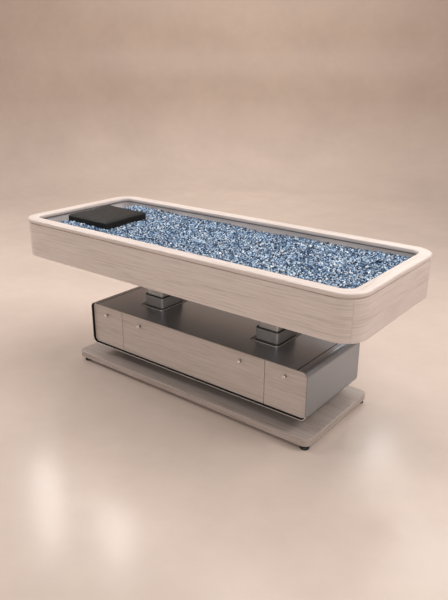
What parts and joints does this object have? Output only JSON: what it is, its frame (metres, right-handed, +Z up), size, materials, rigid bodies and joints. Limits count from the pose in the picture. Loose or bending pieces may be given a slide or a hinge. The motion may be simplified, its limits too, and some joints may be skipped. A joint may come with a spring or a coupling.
{
  "type": "height adjustable quartz spa bed",
  "caption": "Height-adjustable spa treatment bed: wooden tub of heated quartz chips and a head pillow on two telescopic columns, over a drawer cabinet and a base plate on levelling feet.",
  "frame": {"origin": "on the floor, under the middle of the tub", "axes": "+X runs to the foot end, +Y runs away from the drawer fronts to the back, +Z runs up"},
  "size_m": [2.208, 0.868, 0.881],
  "materials": {
    "pale_wood": "satin",
    "rim_wood": "satin",
    "inner_board": "matte",
    "dark_shell": "gloss",
    "column_grey": "satin",
    "bare_steel": "satin",
    "knob_metal": "satin",
    "black_plastic": "matte",
    "drive_alloy": "matte",
    "liner_plastic": "satin",
    "insulation": "matte",
    "mat_rubber": "matte",
    "quartz": "gloss",
    "black_leather": "matte",
    "foot_rubber": "matte"
  },
  "bodies": {
    "base": {"base_plate": "pale_wood", "foot_inserts": "bare_steel", "plinth": "inner_board", "cabinet_top": "dark_shell", "cabinet_wrap": "dark_shell", "cabinet_back": "inner_board", "cabinet_uprights": "inner_board", "cabinet_rails": "bare_steel", "column_foot_plates": "bare_steel", "column_foot_bolts": "bare_steel", "column_left_outer": "column_grey", "column_right_outer": "column_grey", "column_flanges": "column_grey", "column_seals": "black_plastic", "spindle_nuts": "bare_steel", "control_box": "black_plastic", "power_inlet": "black_plastic"},
    "middle_left": {"column_left_middle": "column_grey", "left_middle_guides": "black_plastic"},
    "middle_right": {"column_right_middle": "column_grey", "right_middle_guides": "black_plastic"},
    "tub": {"column_left_inner": "column_grey", "column_right_inner": "column_grey", "inner_guides": "black_plastic", "gear_motors": "drive_alloy", "spindles": "bare_steel", "head_plates": "bare_steel", "head_plate_bolts": "bare_steel", "frame_rails": "bare_steel", "frame_crossmembers": "bare_steel", "underside_panel": "black_plastic", "support_board": "inner_board", "insulation_board": "insulation", "apron_front": "pale_wood", "apron_back": "pale_wood", "apron_head": "pale_wood", "apron_foot": "pale_wood", "apron_battens": "inner_board", "tub_liner": "liner_plastic", "tub_rim": "rim_wood", "heating_mats": "mat_rubber", "temperature_probe": "bare_steel", "quartz_fill": "quartz"},
    "pillow": {"head_pillow": "black_leather"},
    "drawer_left": {"drawer_left_front": "pale_wood", "drawer_left_box": "inner_board", "drawer_left_knob": "knob_metal", "drawer_left_rails": "bare_steel"},
    "drawer_centre": {"drawer_centre_front": "pale_wood", "drawer_centre_box": "inner_board", "drawer_centre_knobs": "knob_metal", "drawer_centre_rails": "bare_steel"},
    "drawer_right": {"drawer_right_front": "pale_wood", "drawer_right_box": "inner_board", "drawer_right_knob": "knob_metal", "drawer_right_rails": "bare_steel"},
    "foot_front_left": {"foot_front_left": "foot_rubber"},
    "foot_front_right": {"foot_front_right": "foot_rubber"},
    "foot_back_left": {"foot_back_left": "foot_rubber"},
    "foot_back_right": {"foot_back_right": "foot_rubber"}
  },
  "joints": [
    {"name": "lift", "type": "slide", "parent": "base", "child": "tub", "axis": [0, 0, 1], "range_m": [-0.15, 0.1]},
    {"name": "middle_left_lift", "type": "slide", "parent": "base", "child": "middle_left", "axis": [0, 0, 1], "range_m": [-0.075, 0.05]},
    {"name": "middle_right_lift", "type": "slide", "parent": "base", "child": "middle_right", "axis": [0, 0, 1], "range_m": [-0.075, 0.05]},
    {"name": "pillow_lift", "type": "slide", "parent": "tub", "child": "pillow", "axis": [0, 0, 1], "range_m": [0, 0.3]},
    {"name": "drawer_left_slide", "type": "slide", "parent": "base", "child": "drawer_left", "axis": [0, -1, 0], "range_m": [0, 0.3]},
    {"name": "drawer_centre_slide", "type": "slide", "parent": "base", "child": "drawer_centre", "axis": [0, -1, 0], "range_m": [0, 0.3]},
    {"name": "drawer_right_slide", "type": "slide", "parent": "base", "child": "drawer_right", "axis": [0, -1, 0], "range_m": [0, 0.3]},
    {"name": "foot_front_left_screw", "type": "slide", "parent": "base", "child": "foot_front_left", "axis": [0, 0, 1], "range_m": [-0.01, 0]},
    {"name": "foot_front_right_screw", "type": "slide", "parent": "base", "child": "foot_front_right", "axis": [0, 0, 1], "range_m": [-0.01, 0]},
    {"name": "foot_back_left_screw", "type": "slide", "parent": "base", "child": "foot_back_left", "axis": [0, 0, 1], "range_m": [-0.01, 0]},
    {"name": "foot_back_right_screw", "type": "slide", "parent": "base", "child": "foot_back_right", "axis": [0, 0, 1], "range_m": [-0.01, 0]}
  ],
  "couplings": [
    {"joint": "middle_left_lift", "follows": "lift", "ratio": 0.5},
    {"joint": "middle_right_lift", "follows": "lift", "ratio": 0.5}
  ]
}
